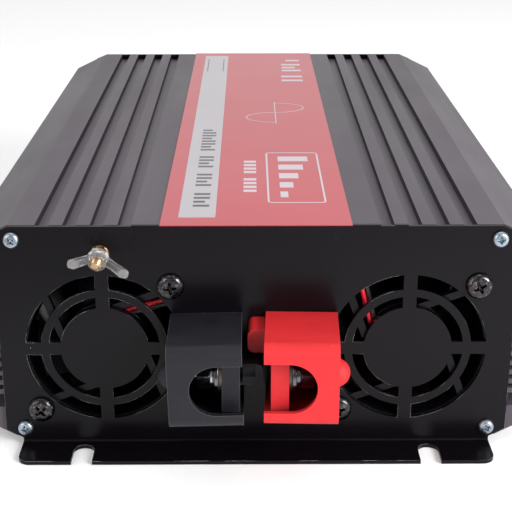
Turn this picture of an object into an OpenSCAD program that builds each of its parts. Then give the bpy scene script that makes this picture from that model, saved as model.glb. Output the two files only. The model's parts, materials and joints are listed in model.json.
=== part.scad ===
// Power inverter: finned extruded case, two steel end plates, cooling fans and DC terminals in front,
// AC outlets behind, and the converter electronics inside.
// Origin: centre of the footprint on the mounting plane. +X right, +Y towards the AC end, +Z up.

/* [Case] */
// Length over both end plates
case_l = 314.5; // [280:0.5:360]
// Overall width over the side fins
case_w = 213.2; // [212:0.2:216]
// Height of the case top above the mounting plane
case_h = 88.55; // [88:0.05:90]
// Number of grooves on each side of the label
groove_n = 4; // [2:1:4]
// Distance between grooves
groove_pitch = 9.9; // [9:0.1:10]
// Width of a groove
groove_w = 4.9; // [3:0.1:6]
// Number of side fins
fin_n = 15; // [8:1:15]
// Distance between side fins
fin_pitch = 3.8; // [3.4:0.1:3.8]

/* [End plates] */
// Sheet thickness
plate_t = 1.5; // [1.2:0.1:2]
// Depth of the mounting flange
flange_d = 15.1; // [14:0.1:18]
// Width of a mounting notch
notch_w = 7.8; // [5:0.1:8]
// Depth of a mounting notch
notch_d = 12; // [10:0.5:12]
// Distance between the notches of one flange
notch_span = 130; // [110:1:140]

/* [Fans] */
// Side of the square fan frame
fan_size = 60; // [60:1:61]
// Depth of the fan frame
fan_d = 25; // [20:1:30]
// Distance of each fan from the middle
fan_x = 56.2; // [55:0.1:56.5]
// Number of blades
blade_n = 7; // [5:1:9]

/* [Terminals] */
// Depth of a terminal cover
cover_d = 32; // [30:0.5:36]
// Width of a terminal cover
cover_w = 26.2; // [25:0.1:28]
// Height of a terminal cover
cover_h = 31.2; // [30:0.1:33]
// Thread radius of a terminal bolt
bolt_r = 3; // [2.5:0.1:3.2]

/* [AC panel] */
// Side of an outlet's fascia
outlet_size = 50; // [46:1:52]
// Distance between outlet centres
outlet_pitch = 54; // [53:1:56]

/* [Hidden] */
$fn = 64;

e = 0.01;
front_y = -(case_l + flange_d - cover_d) / 2;
shell_y0 = plate_t;
shell_y1 = case_l - plate_t;

// case section
half_w = case_w / 2;
top_flat = 89.2;
shoulder_z = 80.2;
ceiling_z = case_h - 6.05;
groove_x0 = 44.75;
groove_depth = 3;
wall_x0 = 88;
wall_x1 = 92.5;
seam_z = 21;
fin_t = 1.9;
fin_x = half_w - 0.3;
base_z = 3.1;
floor_z = 6.1;
sill_z = 15.5;
port_x = 87.65;
port_top_z = 83.5;
port_low_z = 7.5;
port_r = 1.35;

// end plate outline
plate_w = 94.9;
plate_h = 88.4;
plate_flat = 88.7;
neck_w = 88.9;
bend_r = 0.8;
corner_r = 4.5;

// fans
fan_z = 40.4;
fan_hole = 25;
grille_r = 29.2;
ring_out = 23.6;
ring_in = 20.6;
disc_r = 16.4;
spoke_w = 5;
bore_r = 28.7;
hub_r = 16;
shaft_r = 1.5;

// terminals
pair_x = -0.4;
term_z = 39.9;
bolt_y = -19;
wall_in = 5.5;
wall_t = 6.4;
base_half = 12.6;
bar_t = 1.2;
bar_w = 16;
flat_t = 1.4;
spring_t = 1.5;
nut_t = 4.6;
nut_gap = 0.15;
bar_x = wall_in + wall_t;
washer_x = bar_x + bar_t;
spring_x = washer_x + flat_t;
nut_x = spring_x + spring_t + nut_gap;
bolt_end = nut_x + nut_t + 4.2;
cover_t = 1.8;

// ground point
stud_x = -56.2;
stud_z = 78.2;
stud_r = 1.75;
stud_out = 11.5;
stud_nut = 6;
stud_nut_t = 2.8;

// AC panel, x to the right as seen from behind
outlet_x = [-58, -58 + outlet_pitch];
outlet_z = 43;
well_r = 19.75;
well_d = 17.5;
fascia_t = 3;
pin_x = 9.5;
pin_r = 2.6;
control_x = 50;
switch_z = 62;
switch_tilt = 10;
port_row_z = 22;

// board
board_z = 14.1;
board_t = 1.6;
board_top = board_z + board_t;
fan_board_z = board_top - fan_z;
board_w = 164;
board_y0 = 32;
board_y1 = 262;
transistor_pitch = 24;
transistor_y0 = 70;
clamp_z = 42;
bar_inner_x = 81.4;
clamp_screw_y = [for (i = [0:2:6]) transistor_y0 + (i + 0.5) * transistor_pitch];

module at_front() {
    translate([0, front_y, 0]) children();
}

module at_rear() {
    translate([0, front_y + case_l, 0]) rotate(180) children();
}

module both() {
    children();
    mirror([1, 0, 0]) children();
}

module prism_y(y0, y1) {
    translate([0, y1, 0]) rotate([90, 0, 0]) linear_extrude(y1 - y0) children();
}

module rod_y(r, y0, y1) {
    translate([0, y1, 0]) rotate([90, 0, 0]) cylinder(r = r, h = y1 - y0);
}

module rod_x(r, x0, x1) {
    translate([x0, 0, 0]) rotate([0, 90, 0]) cylinder(r = r, h = x1 - x0);
}

module box(x0, x1, y0, y1, z0, z1) {
    translate([x0, y0, z0]) cube([x1 - x0, y1 - y0, z1 - z0]);
}

module rounded(w, h, r) {
    square([w - 2 * r, h], center = true);
    square([w, h - 2 * r], center = true);
    for (sx = [-1, 1], sz = [-1, 1])
        translate([sx * (w / 2 - r), sz * (h / 2 - r)]) circle(r = r);
}

// pan head screw along +Y, head outside y = 0
module pan_screw(head_r, head_h, shank_r, shank_l) {
    cross_w = head_r * 0.3;
    difference() {
        rotate([90, 0, 0]) rotate_extrude()
            polygon([[0, 0], [head_r, 0], [head_r, 0.4 * head_h], [0.87 * head_r, 0.75 * head_h],
                [0.55 * head_r, 0.95 * head_h], [0, head_h]]);
        for (a = [45, 135])
            rotate([0, a, 0])
                translate([0, -head_h, 0]) cube([head_r * 1.15, head_h, cross_w], center = true);
    }
    rod_y(shank_r, -e, shank_l);
}

// hexagonal nut blank along X from x0, across flats af
module hex_x(af, x0, x1) {
    translate([x0, 0, 0]) rotate([0, 90, 0]) cylinder(r = af / sqrt(3), h = x1 - x0, $fn = 6);
}

// tube swept along a list of points
function unit(v) = v / norm(v);
function ring_at(p, d, r, n, ref) =
    let (t = unit(d), u = unit(cross(t, ref)), v = cross(t, u))
    [for (k = [0:n - 1]) p + r * (cos(360 * k / n) * u + sin(360 * k / n) * v)];
function bezier(a, b, c, t) = (1 - t) * (1 - t) * a + 2 * t * (1 - t) * b + t * t * c;
function smooth(pts, steps) = concat([pts[0]],
    [for (i = [1:len(pts) - 2], s = [0:steps - 1])
        bezier((pts[i - 1] + pts[i]) / 2, pts[i], (pts[i] + pts[i + 1]) / 2, s / steps)],
    [(pts[len(pts) - 2] + pts[len(pts) - 1]) / 2, pts[len(pts) - 1]]);
module wire(pts, r, ref = [1, 0, 0], steps = 4, n = 8) {
    path = smooth(pts, steps);
    last = len(path) - 1;
    rings = [for (i = [0:last])
        each ring_at(path[i], path[min(i + 1, last)] - path[max(i - 1, 0)], r, n, ref)];
    sides = [for (i = [0:last - 1], k = [0:n - 1])
        [i * n + k, i * n + (k + 1) % n, (i + 1) * n + (k + 1) % n, (i + 1) * n + k]];
    polyhedron(rings, concat([[for (k = [n - 1:-1:0]) k]], sides,
        [[for (k = [0:n - 1]) last * n + k]]));
}

// ---- case ----
// right half of an outline, closed with its mirror image
module outline(pts) {
    last = len(pts) - 1;
    polygon(concat(pts, [for (i = [last:-1:0]) [-pts[i].x, pts[i].y]]));
}

function groove_points() = [for (i = [0:groove_n - 1])
    let (x = groove_x0 + i * groove_pitch, z = case_h - groove_depth)
    each [[x, case_h], [x, z], [x + groove_w, z], [x + groove_w, case_h]]];

function fin_points() = [for (i = [fin_n - 1:-1:0])
    let (z = seam_z + i * fin_pitch)
    each [[wall_x1, z + fin_t], [fin_x, z + fin_t], [fin_x, z], [wall_x1, z]]];

module top_section() {
    difference() {
        outline(concat(groove_points(),
            [[top_flat, case_h], [half_w, shoulder_z], [half_w, 78], [wall_x1, 78]], fin_points(),
            [[wall_x0, seam_z], [wall_x0, ceiling_z - 4], [wall_x0 - 4, ceiling_z]]));
        both() translate([port_x, port_top_z]) circle(r = port_r);
    }
}

module top_shell() {
    color([0.3, 0.3, 0.31]) at_front() difference() {
        prism_y(shell_y0, shell_y1) top_section();
        both() for (y = clamp_screw_y)
            translate([0, y, clamp_z]) rod_x(1.45, wall_x0 - 1, wall_x0 + 3.6);
    }
}

function rib_points() = [for (i = [0:3])
    let (x = 12 + i * 17, z = base_z + 1)
    each [[x, base_z], [x, z], [x + 6, z], [x + 6, base_z]]];

module bottom_section() {
    lip_x = wall_x0 - 0.2;
    port_step = 10.2;
    difference() {
        outline(concat(rib_points(), [[91.4, base_z], [half_w, 11.4], [half_w, sill_z], [94.6, sill_z],
            [94.6, seam_z], [lip_x, seam_z], [lip_x, 27], [86.5, 27], [86.5, port_step],
            [85.2, port_step], [85.2, floor_z]]));
        both() translate([port_x, port_low_z]) circle(r = port_r);
    }
}

module standoff_spots() {
    for (x = [-74, 74], y = [44, 148, 252]) translate([x, y, 0]) children();
}

module bottom_shell() {
    color([0.3, 0.3, 0.31]) at_front() difference() {
        prism_y(shell_y0, shell_y1) bottom_section();
        standoff_spots() translate([0, 0, base_z - 1]) cylinder(r = 1.6, h = 6, $fn = 32);
    }
}

module label() {
    color([0.85, 0.12, 0.15]) at_front() box(-34.5, 34.5, 0, case_l, case_h, case_h + 0.35);
}

// ---- end plates ----
module plate_blank() {
    prism_y(0, plate_t) both()
        polygon([[-1, bend_r + plate_t], [neck_w, bend_r + plate_t], [neck_w, base_z], [plate_w, 6.5],
            [plate_w, 85.9], [plate_flat, plate_h], [-1, plate_h]]);
    // bend between plate and flange
    difference() {
        translate([0, -bend_r, bend_r + plate_t]) rod_x(bend_r + plate_t, -neck_w, neck_w);
        translate([0, -bend_r, bend_r + plate_t]) rod_x(bend_r, -neck_w - 1, neck_w + 1);
        box(-neck_w - 1, neck_w + 1, -9, -bend_r, -1, 9);
        box(-neck_w - 1, neck_w + 1, -9, 9, bend_r + plate_t, 9);
    }
    linear_extrude(plate_t) difference() {
        union() {
            translate([-neck_w, -flange_d + corner_r])
                square([2 * neck_w, flange_d - corner_r - bend_r]);
            translate([-neck_w + corner_r, -flange_d]) square([2 * (neck_w - corner_r), flange_d / 2]);
            for (s = [-1, 1])
                translate([s * (neck_w - corner_r), -flange_d + corner_r]) circle(r = corner_r);
        }
        for (s = [-1, 1]) translate([s * notch_span / 2, -flange_d]) {
            translate([-notch_w / 2, -1]) square([notch_w, notch_d - notch_w / 2 + 1]);
            translate([0, notch_d - notch_w / 2]) circle(r = notch_w / 2);
        }
    }
}

module corner_holes() {
    for (s = [-1, 1], z = [port_low_z, port_top_z])
        translate([s * port_x, 0, z]) rod_y(1.7, -1, plate_t + 1);
}

module corner_screws() {
    for (s = [-1, 1], z = [port_low_z, port_top_z])
        translate([s * port_x, 0, z]) rotate([0, s * z * 7, 0]) pan_screw(3, 2.1, 1.3, 14);
}

module grille_cut() {
    difference() {
        circle(r = grille_r);
        difference() {
            circle(r = ring_out);
            circle(r = ring_in);
        }
        circle(r = disc_r);
        square([2 * grille_r + 2, spoke_w], center = true);
        square([spoke_w, 2 * grille_r + 2], center = true);
    }
}

module fan_spots() {
    for (s = [-1, 1]) translate([s * fan_x, 0, fan_z]) children();
}

module fan_screw_spots() {
    fan_spots() for (s = [-1, 1]) translate([s * fan_hole, 0, s * fan_hole]) children();
}

// stretches of the top edge that stand just above the case beside the label
module edge_lift() {
    for (x = [-44.6, 34.7, 49.7])
        box(x, x + (x > 45 ? 4.9 : 9.9), 0, plate_t, plate_h - 1, case_h + 0.3);
}

module front_plate() {
    color([0.09, 0.09, 0.1]) at_front() difference() {
        union() {
            plate_blank();
            edge_lift();
        }
        corner_holes();
        fan_spots() prism_y(-1, plate_t + 1) grille_cut();
        fan_screw_spots() rod_y(2.3, -1, plate_t + 1);
        translate([stud_x, 0, stud_z]) rod_y(stud_r + 0.15, -1, plate_t + 1);
        terminal_sides() terminal_window(0);
        terminal_sides() base_screw_spots() rod_y(1.7, -1, plate_t + 1);
    }
}

module rear_plate() {
    color([0.09, 0.09, 0.1]) at_rear() difference() {
        plate_blank();
        corner_holes();
        for (x = outlet_x) translate([x, 0, outlet_z]) rod_y(22.3, -1, plate_t + 1);
        translate([control_x, 0, switch_z]) box(-7.2, 7.2, -1, plate_t + 1, -11.2, 11.2);
        translate([control_x + 26, 0, switch_z]) rod_y(5.2, -1, plate_t + 1);
        for (x = [-5, 5]) translate([control_x + x, 0, 42]) rod_y(2.6, -1, plate_t + 1);
        translate([control_x - 9, 0, port_row_z]) box(-7.4, 7.4, -1, plate_t + 1, -3.8, 3.8);
        translate([control_x + 15, 0, port_row_z]) box(-6.8, 6.8, -1, plate_t + 1, -6.6, 6.6);
        for (i = [0:12]) translate([-78 + i * 7, 0, 79.5]) prism_y(-1, plate_t + 1) rounded(3, 8, 1.4);
        for (i = [0:2]) translate([control_x + 16 + i * 7, 0, 42]) prism_y(-1, plate_t + 1)
            rounded(3, 14, 1.4);
    }
}

module front_corner_screws() {
    color([0.75, 0.77, 0.8]) at_front() corner_screws();
}

module rear_corner_screws() {
    color([0.75, 0.77, 0.8]) at_rear() corner_screws();
}

// ---- fans ----
module fan_frame() {
    strut_len = 18.4;
    difference() {
        union() {
            prism_y(0, 3.5) rounded(fan_size, fan_size, 4);
            prism_y(fan_d - 3.5, fan_d) rounded(fan_size, fan_size, 4);
            rod_y(fan_size / 2 - 0.2, 0, fan_d);
            for (a = [45:90:315]) rotate([0, a, 0])
                translate([fan_hole * sqrt(2), 0, 0]) rod_y(4, 0, fan_d);
        }
        rod_y(bore_r, -1, fan_d + 1);
        for (a = [45:90:315]) rotate([0, a, 0])
            translate([fan_hole * sqrt(2), 0, 0]) rod_y(2.15, -1, fan_d + 1);
        // gap for the leads
        box(22, 31, 3.3, 5.9, 14.9, 20.9);
    }
    // motor mount on four slanted struts
    intersection() {
        rod_y(fan_size / 2, 0, fan_d);
        union() for (a = [0:90:270]) rotate([0, a, 0])
            translate([-15.5, 0, 3.7]) rotate([0, -110, 0]) box(0, strut_len, 0.4, 3.2, -1.4, 1.4);
    }
    difference() {
        union() {
            rod_y(hub_r + 0.2, 0.4, 2.6);
            rod_y(4.5, 2.5, 16);
        }
        rod_y(shaft_r + 0.05, 4, 17);
    }
}

module fan_rotor() {
    difference() {
        rod_y(hub_r, 4.5, 22.5);
        rod_y(hub_r - 2.4, 4, 21);
    }
    rod_y(shaft_r, 4.6, 21.5);
    difference() {
        intersection() {
            rod_y(bore_r - 1.1, 4.6, 22.4);
            for (k = [0:blade_n - 1]) rotate([0, k * 360 / blade_n, 0])
                translate([hub_r + 6, 13.4, 0]) rotate([40, 0, 0]) cube([13.4, 20, 1.4], center = true);
        }
        rod_y(hub_r - 0.6, 4, 23);
    }
}

module at_fan(side) {
    at_front() translate([side * fan_x, plate_t, fan_z]) children();
}

module fan_frame_left() {
    color([0.07, 0.07, 0.08]) at_fan(-1) fan_frame();
}

module fan_frame_right() {
    color([0.07, 0.07, 0.08]) at_fan(1) rotate([0, -90, 0]) fan_frame();
}

module fan_rotor_left() {
    color([0.08, 0.08, 0.09]) at_fan(-1) fan_rotor();
}

module fan_rotor_right() {
    color([0.08, 0.08, 0.09]) at_fan(1) fan_rotor();
}

module fan_stators() {
    color([0.72, 0.4, 0.2]) for (s = [-1, 1]) at_fan(s) difference() {
        rod_y(12.6, 5.2, 15);
        rod_y(4.6, 5, 16);
        for (a = [0, 90]) rotate([0, a, 0]) difference() {
            box(-13, 13, 5, 16, -1.2, 1.2);
            rod_y(7.5, 4, 17);
        }
    }
}

module fan_screws() {
    color([0.12, 0.12, 0.13]) at_front() fan_screw_spots() rotate([0, 20, 0])
        pan_screw(4.9, 2.6, 2.1, 13);
}

// leads run along one strut, out through the frame's gap and back to the board, side by side
lead_r = 0.8;
lead_gap = 1.9;
strut_route = [[5, 3.45, 12], [9, 3.5, 14], [14, 3.8, 15.2], [19, 4.1, 16.5], [25, 4.5, 18],
    [31.6, 4.6, 18.8], [32.2, 14, 19]];
left_tail = [[32, 30, 18], [31, 36, 6], [31, 37, fan_board_z + 0.1]];
left_spread = [[1, 0, 1], [1, 0, 0], [1, 0, 0]];
right_tail = [[30, 34, 18], [14, 42, 17], [fan_board_z, 42, 16]];
right_spread = [[0, 0, 1], [0, 0, 1], [0, 0, 1]];

module fan_lead(side, turn, tail, spread, shift) {
    start = [for (p = strut_route) p + shift * [0, 0, 1]];
    end = [for (i = [0:len(tail) - 1]) tail[i] + shift * spread[i]];
    at_fan(side) rotate([0, turn, 0]) wire(concat(start, end), lead_r, [0, 0.35, 1]);
}

module fan_leads(shift) {
    fan_lead(-1, 0, left_tail, left_spread, shift);
    fan_lead(1, -90, right_tail, right_spread, shift);
}

module fan_leads_red() {
    color([0.85, 0.1, 0.12]) fan_leads(0);
}

module fan_leads_black() {
    color([0.08, 0.08, 0.08]) fan_leads(-lead_gap);
}

// ---- DC terminals: drawn for the right-hand side, and mirrored about the pair's middle ----
module terminal_side(side) {
    translate([pair_x, 0, term_z]) mirror([side < 0 ? 1 : 0, 0, 0]) children();
}

module terminal_sides() {
    terminal_side(1) children();
    terminal_side(-1) children();
}

module terminal_window(gap) {
    box(bar_x - 1.8 + gap, bar_x + bar_t + 1.8 - gap, -1, plate_t + 2, -10 + gap, 10 - gap);
}

module base_screw_spots() {
    for (s = [-1, 1]) translate([bar_x + 8.6, 0, s * 9]) children();
}

module terminal_base(tab_y, tab_z0, tab_z1, tab_r) {
    tab_w = 8.3;
    difference() {
        union() {
            box(wall_in, bar_x, -25, 0, -base_half, base_half);
            box(wall_in, bar_x + 14, -3, 0, -base_half, base_half);
            intersection() {
                terminal_window(0.2);
                box(0, 30, -1, plate_t + 1.5, -20, 20);
            }
            // finger tab with rounded outer corners
            translate([0, 0, (tab_z0 + tab_z1) / 2]) prism_y(-tab_y, 0)
                translate([wall_in - tab_w / 2 + 1.5, 0])
                    rounded(tab_w + 3, tab_z1 - tab_z0, tab_r);
        }
        box(bar_x, bar_x + bar_t + 0.15, -26, 6, -bar_w / 2 - 0.15, bar_w / 2 + 0.15);
        translate([0, bolt_y, 0]) rod_x(bolt_r + 0.15, 0, 30);
        translate([0, bolt_y, 0]) hex_x(10.3, wall_in - 1, wall_in + 4);
        base_screw_spots() rod_y(1.7, -5, 3);
    }
}

module terminal_base_red() {
    color([0.8, 0.1, 0.12]) at_front() terminal_side(1) terminal_base(11.7, 4.3, 13.4, 2.6);
}

module terminal_base_black() {
    color([0.12, 0.12, 0.13]) at_front() terminal_side(-1) terminal_base(17.2, -5.8, 2.3, 2.2);
}

module terminal_base_screws() {
    color([0.75, 0.77, 0.8]) at_front() terminal_sides() base_screw_spots()
        translate([0, -3, 0]) pan_screw(2.8, 1.8, 1.6, 8);
}

module busbar() {
    end_y = -25 + bar_w / 2;
    difference() {
        union() {
            box(bar_x, bar_x + bar_t, end_y, 46, -bar_w / 2, bar_w / 2);
            translate([0, end_y, 0]) rod_x(bar_w / 2, bar_x, bar_x + bar_t);
            box(bar_x, bar_x + bar_t, 36, 46, board_top - term_z, 0);
        }
        translate([0, bolt_y, 0]) rod_x(bolt_r + 0.15, 0, 30);
    }
}

module busbar_positive() {
    color([0.75, 0.48, 0.3]) at_front() terminal_side(1) busbar();
}

module busbar_negative() {
    color([0.75, 0.48, 0.3]) at_front() terminal_side(-1) busbar();
}

module terminal_bolts() {
    color([0.78, 0.78, 0.8]) at_front() terminal_sides() translate([0, bolt_y, 0]) {
        hex_x(10, wall_in + 0.1, wall_in + 4);
        rod_x(bolt_r, wall_in + 3.9, bolt_end);
    }
}

module terminal_washers() {
    color([0.8, 0.8, 0.82]) at_front() terminal_sides() translate([0, bolt_y, 0]) difference() {
        rod_x(7, washer_x, washer_x + flat_t);
        rod_x(bolt_r + 0.2, 0, 40);
    }
}

module spring_washers() {
    color([0.7, 0.7, 0.72]) at_front() terminal_sides() translate([0, bolt_y, 0]) difference() {
        rod_x(5.5, spring_x, spring_x + spring_t);
        rod_x(bolt_r + 0.2, 0, 40);
        rotate([25, 0, 0]) box(0, 40, 0, 8, -0.5, 0.5);
    }
}

module terminal_nut() {
    translate([0, bolt_y, 0]) difference() {
        intersection() {
            rotate([18, 0, 0]) hex_x(10, nut_x, nut_x + nut_t);
            translate([nut_x, 0, 0]) rotate([0, 90, 0]) rotate_extrude()
                polygon([[0, 0], [5.1, 0], [5.8, 0.45], [5.8, nut_t - 0.45], [5.1, nut_t], [0, nut_t]]);
        }
        rod_x(bolt_r + 0.05, 0, 40);
    }
}

module terminal_nut_red() {
    color([0.78, 0.78, 0.8]) at_front() terminal_side(1) terminal_nut();
}

module terminal_nut_black() {
    color([0.78, 0.78, 0.8]) at_front() terminal_side(-1) terminal_nut();
}

module prism_x(x0, x1) {
    translate([x0, 0, 0]) rotate([90, 0, 90]) linear_extrude(x1 - x0) children();
}

// block in YZ from y0 back to y1, half height h, front corners rounded
module cover_section(y0, y1, h, r) {
    translate([y0 + r, -h]) square([y1 - y0 - r, 2 * h]);
    translate([y0, -h + r]) square([r + 1, 2 * (h - r)]);
    for (s = [-1, 1]) translate([y0 + r, s * (h - r)]) circle(r = r);
}

// x0 is the open side, drop, roll and yaw say how the cover sits about its outer front edge
module terminal_cover(x0, drop, roll, yaw) {
    seat = 0.2 + cover_w * sin(abs(yaw));
    cut_r = 9.45;
    cut_x = 9.3;
    boss_r = 5.2;
    half_h = cover_h / 2;
    translate([x0 + cover_w, -cover_d, -drop]) rotate([0, roll, yaw])
    translate([-cover_w, cover_d, 0]) difference() {
        union() {
            prism_x(0, cover_w) cover_section(-cover_d, -seat, half_h, 4.8);
            // rounded boss over the bolt end
            translate([cover_w - 0.9, bolt_y, 0]) rotate([0, 90, 0]) rotate_extrude()
                polygon(concat([[0, 0]], [for (a = [0:10:90]) boss_r * [cos(a), sin(a)]]));
        }
        prism_x(-1, cover_w - cover_t)
            cover_section(-cover_d + cover_t, 1, half_h - cover_t, 4.8 - cover_t);
        // D-shaped front opening
        prism_y(-cover_d - 1, -cover_d / 2) translate([0, -0.4]) {
            translate([cut_x, 0]) circle(r = cut_r);
            translate([-1, -cut_r]) square([cut_x + 1, 2 * cut_r]);
        }
    }
}

module terminal_cover_red() {
    color([0.88, 0.12, 0.12]) at_front() terminal_side(1) terminal_cover(2.9, 0, 0, -2);
}

module terminal_cover_black() {
    color([0.2, 0.2, 0.21]) at_front() terminal_side(-1) terminal_cover(4.4, 0.9, 1.3, 0);
}

// ---- ground point ----
module at_stud() {
    at_front() translate([stud_x, 0, stud_z]) children();
}

module ground_stud() {
    color([0.75, 0.6, 0.3]) at_stud() {
        rod_y(stud_r, -stud_out + 0.4, plate_t + 0.1);
        translate([0, -stud_out + 0.4, 0]) rotate([90, 0, 0])
            cylinder(r1 = stud_r, r2 = stud_r - 0.4, h = 0.4);
        translate([0, plate_t, 0]) rotate([90, 30, 180])
            cylinder(r = stud_nut / sqrt(3), h = stud_nut_t, $fn = 6);
    }
}

module ground_washer() {
    color([0.8, 0.68, 0.35]) at_stud() difference() {
        rod_y(3.3, -0.7, 0);
        rod_y(stud_r + 0.1, -1, 1);
    }
}

module ground_nut() {
    color([0.8, 0.66, 0.32]) at_stud() difference() {
        translate([0, -0.7, 0]) rotate([90, 0, 0])
            cylinder(r = stud_nut / sqrt(3), h = stud_nut_t, $fn = 6);
        rod_y(stud_r + 0.05, -4, 1);
    }
}

module wing_nut() {
    hub_y = -4;
    hub_r = 3.1;
    hub_h = 6.7;
    wing_t = 3.4;
    color([0.85, 0.87, 0.9, 0.5]) at_stud() rotate([0, 11.5, 0]) difference() {
        union() {
            rod_y(hub_r, hub_y - hub_h, hub_y);
            both() translate([0, 0, -wing_t / 2]) linear_extrude(wing_t)
                polygon([[2.2, hub_y - 0.6], [4.2, hub_y - 0.8], [6.6, hub_y - 3.2], [10.4, hub_y - 9],
                    [10.3, hub_y - 11.1], [7, hub_y - 11.2], [5.2, hub_y - 7.6], [2.4, hub_y - 5.4]]);
        }
        rod_y(stud_r + 0.05, -20, 1);
    }
}

// ---- AC outlets, drawn at their own centre in the rear frame ----
module at_outlet(i) {
    at_rear() translate([outlet_x[i], 0, outlet_z]) children();
}

module ac_outlet() {
    floor_y = well_d - fascia_t;
    difference() {
        union() {
            prism_y(-fascia_t, 0) rounded(outlet_size, outlet_size, 7);
            rod_y(22, -e, floor_y + 4);
            box(-15, 15, floor_y + 3, floor_y + 20, -8, 8);
        }
        rod_y(well_r, -fascia_t - 1, floor_y);
        for (s = [-1, 1]) translate([s * pin_x, 0, 0]) {
            rod_y(pin_r, floor_y - 1, floor_y + 5);
            rod_y(3.6, floor_y + 4.5, floor_y + 21);
        }
        rod_y(1.7, floor_y - 1, floor_y + 12);
        for (s = [-1, 1]) translate([0, 0, s * (well_r + 0.4)])
            box(-3.2, 3.2, 0, floor_y + 5, -1.4, 1.4);
    }
    // side keys of the well
    for (s = [-1, 1]) intersection() {
        rod_y(well_r + 0.5, -1, floor_y + 1);
        translate([s * (well_r - 1.2), 0, 0]) box(-1.9, 1.9, 0.5, floor_y + 0.5, -2.6, 2.6);
    }
}

module ac_outlet_left() {
    color([0.1, 0.1, 0.11]) at_outlet(0) ac_outlet();
}

module ac_outlet_right() {
    color([0.1, 0.1, 0.11]) at_outlet(1) ac_outlet();
}

module outlet_sleeves() {
    color([0.8, 0.65, 0.35]) for (i = [0, 1]) at_outlet(i) for (s = [-1, 1])
        translate([s * pin_x, 0, 0]) difference() {
            rod_y(3.5, 19.2, 36);
            rod_y(pin_r + 0.05, 19, 33);
        }
}

module outlet_earth_clips() {
    color([0.8, 0.8, 0.82]) for (i = [0, 1]) at_outlet(i) for (s = [-1, 1])
        scale_z(s) {
            box(-2.8, 2.8, 1, 22, well_r - 0.8, well_r + 0.4);
            box(-2.8, 2.8, 4, 11, well_r - 2.6, well_r - 0.7);
        }
}

module scale_z(s) {
    mirror([0, 0, s < 0 ? 1 : 0]) children();
}

module outlet_screws() {
    color([0.75, 0.77, 0.8]) for (i = [0, 1]) at_outlet(i)
        translate([0, well_d - fascia_t, 0]) pan_screw(3, 1.9, 1.6, 11);
}

// ---- controls ----
module at_switch() {
    at_rear() translate([control_x, 0, switch_z]) children();
}

module switch_housing() {
    color([0.08, 0.08, 0.09]) at_switch() difference() {
        union() {
            prism_y(-1.6, 0) rounded(16.4, 24.4, 2);
            box(-7, 7, -e, 14, -11, 11);
        }
        box(-5.4, 5.4, -3, 11, -9.6, 9.6);
        translate([0, 3, 0]) rod_x(1.55, -6.5, 6.5);
    }
    color([0.08, 0.08, 0.09]) at_switch() for (z = [-7, 0, 7])
        box(-2.4, 2.4, 13.9, 21, z - 0.4, z + 0.4);
}

module switch_rocker() {
    color([0.75, 0.1, 0.1]) at_switch() translate([0, 3, 0]) rotate([switch_tilt, 0, 0]) {
        prism_x(-5.1, 5.1) polygon([[-5.6, -8], [-3.6, 0], [-5.6, 8], [1, 7.2], [3, 0], [1, -7.2]]);
        rod_x(1.5, -6.4, 6.4);
    }
}

module at_breaker() {
    at_rear() translate([control_x + 26, 0, switch_z]) children();
}

module breaker_body() {
    color([0.12, 0.12, 0.13]) at_breaker() difference() {
        union() {
            rod_y(5, -4, 0.1);
            translate([0, -0.01, 0]) rotate([90, 0, 0]) cylinder(r = 14 / sqrt(3), h = 2, $fn = 6);
            rod_y(5, 0, 6);
            box(-8.5, 8.5, 5, 30, -7, 7);
        }
        rod_y(3.6, -5, 12);
    }
}

module breaker_button() {
    color([0.85, 0.85, 0.85]) at_breaker() {
        rod_y(3.3, -7.5, 5);
        rod_y(2.2, 4.9, 8);
    }
}

module led_lens(x) {
    at_rear() translate([control_x + x, 0, 42]) {
        rod_y(2.5, -0.8, 6);
        translate([0, -0.8, 0]) sphere(r = 2.5);
    }
}

module led_power() {
    color([0.2, 0.8, 0.3]) led_lens(-5);
}

module led_fault() {
    color([0.85, 0.15, 0.1]) led_lens(5);
}

module usb_socket() {
    color([0.8, 0.8, 0.82]) at_rear() translate([control_x - 9, 0, port_row_z]) {
        difference() {
            box(-7.2, 7.2, -0.6, 15, -3.6, 3.6);
            box(-6.6, 6.6, -1, 14, -3, 3);
        }
        box(-5.6, 5.6, 1.5, 14.5, 0.4, 2.2);
    }
}

module remote_socket() {
    color([0.1, 0.1, 0.11]) at_rear() translate([control_x + 15, 0, port_row_z]) difference() {
        box(-6.6, 6.6, -0.6, 16, -6.4, 6.4);
        box(-4.9, 4.9, -1, 12, -4.2, 3);
        box(-3.1, 3.1, -1, 9, -5.6, -3);
    }
}

// ---- electronics ----
module main_board() {
    color([0.08, 0.3, 0.14]) at_front() difference() {
        box(-board_w / 2, board_w / 2, board_y0, board_y1, board_z, board_top);
        standoff_spots() translate([0, 0, board_z - 1]) cylinder(r = 1.7, h = 4, $fn = 32);
    }
}

module board_standoffs() {
    color([0.8, 0.66, 0.35]) at_front() standoff_spots() translate([0, 0, floor_z]) difference() {
        cylinder(r = 3.2, h = board_z - floor_z, $fn = 6);
        translate([0, 0, -1]) cylinder(r = 1.6, h = 20, $fn = 32);
    }
}

// identical machine screws: into the standoffs from above and below, and through the clamp bars
module m3_screws() {
    color([0.75, 0.77, 0.8]) at_front() {
        standoff_spots() {
            translate([0, 0, board_top]) rotate([-90, 0, 0]) pan_screw(2.8, 1.9, 1.5, 5);
            translate([0, 0, base_z]) rotate([90, 0, 0]) pan_screw(2.8, 1.9, 1.5, 5);
        }
        both() for (y = clamp_screw_y) translate([bar_inner_x, y, clamp_z])
            rotate([0, 0, -90]) pan_screw(2.8, 1.9, 1.4, 9.6);
    }
}

module insulation_sheet() {
    color([0.9, 0.85, 0.6]) at_front() difference() {
        box(-83, 83, 30, 275, floor_z, floor_z + 0.4);
        standoff_spots() translate([0, 0, floor_z - 1]) cylinder(r = 4, h = 3, $fn = 32);
    }
}

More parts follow.
